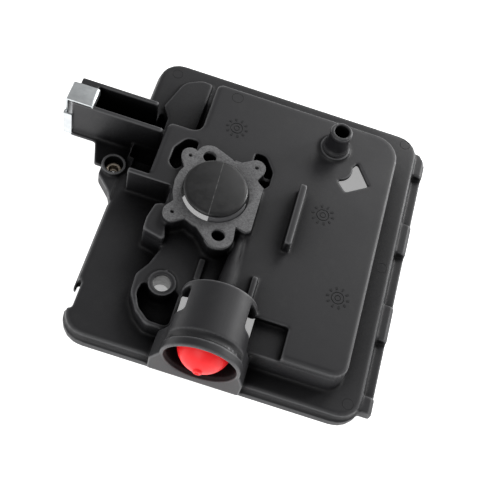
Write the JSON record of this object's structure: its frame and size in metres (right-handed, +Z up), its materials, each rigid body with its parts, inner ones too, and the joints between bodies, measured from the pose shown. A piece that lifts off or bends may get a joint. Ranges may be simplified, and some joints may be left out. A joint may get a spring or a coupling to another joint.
{
  "type": "air filter housing",
  "caption": "Small engine air filter base: shallow plastic tray with a gasketed carburettor face, side arm, breather spigot and a push bulb primer.",
  "frame": {"origin": "under the middle of the housing's box, on the plane that the tray's rim stands on", "axes": "+X across the tray from the support arm's side to the hinge side, +Y along the tray from the primer's side to the back, +Z up towards the engine"},
  "size_m": [0.1688, 0.1592, 0.0427],
  "materials": {
    "black_plastic": "fine textured moulded black plastic, satin on the edges",
    "gasket_sheet": "compressed grey fibre gasket sheet, speckled",
    "red_rubber": "soft satin translucent red rubber",
    "zinc_sheet": "zinc plated spring sheet",
    "brass": "turned brass, slightly dull",
    "steel": "plain turned steel"
  },
  "bodies": {
    "housing": {"tray_rim": "black_plastic", "tray_plate": "black_plastic", "air_box_walls": "black_plastic", "air_box_roof": "black_plastic", "support_arm": "black_plastic", "primer_housing": "black_plastic", "carburettor_gasket": "gasket_sheet", "throat_baffle": "black_plastic", "primer_bulb_flange": "red_rubber", "primer_retainer_ring": "black_plastic", "breather_spigot": "black_plastic", "spring_clip": "zinc_sheet", "threaded_insert": "brass", "boss_bush": "steel"},
    "primer_bulb": {"primer_bulb_dome": "red_rubber"}
  },
  "joints": [
    {"name": "primer_press", "type": "slide", "parent": "housing", "child": "primer_bulb", "axis": [0, 1, 0], "range_m": [0, 0.0058], "stiffness_N_per_m": 800}
  ]
}
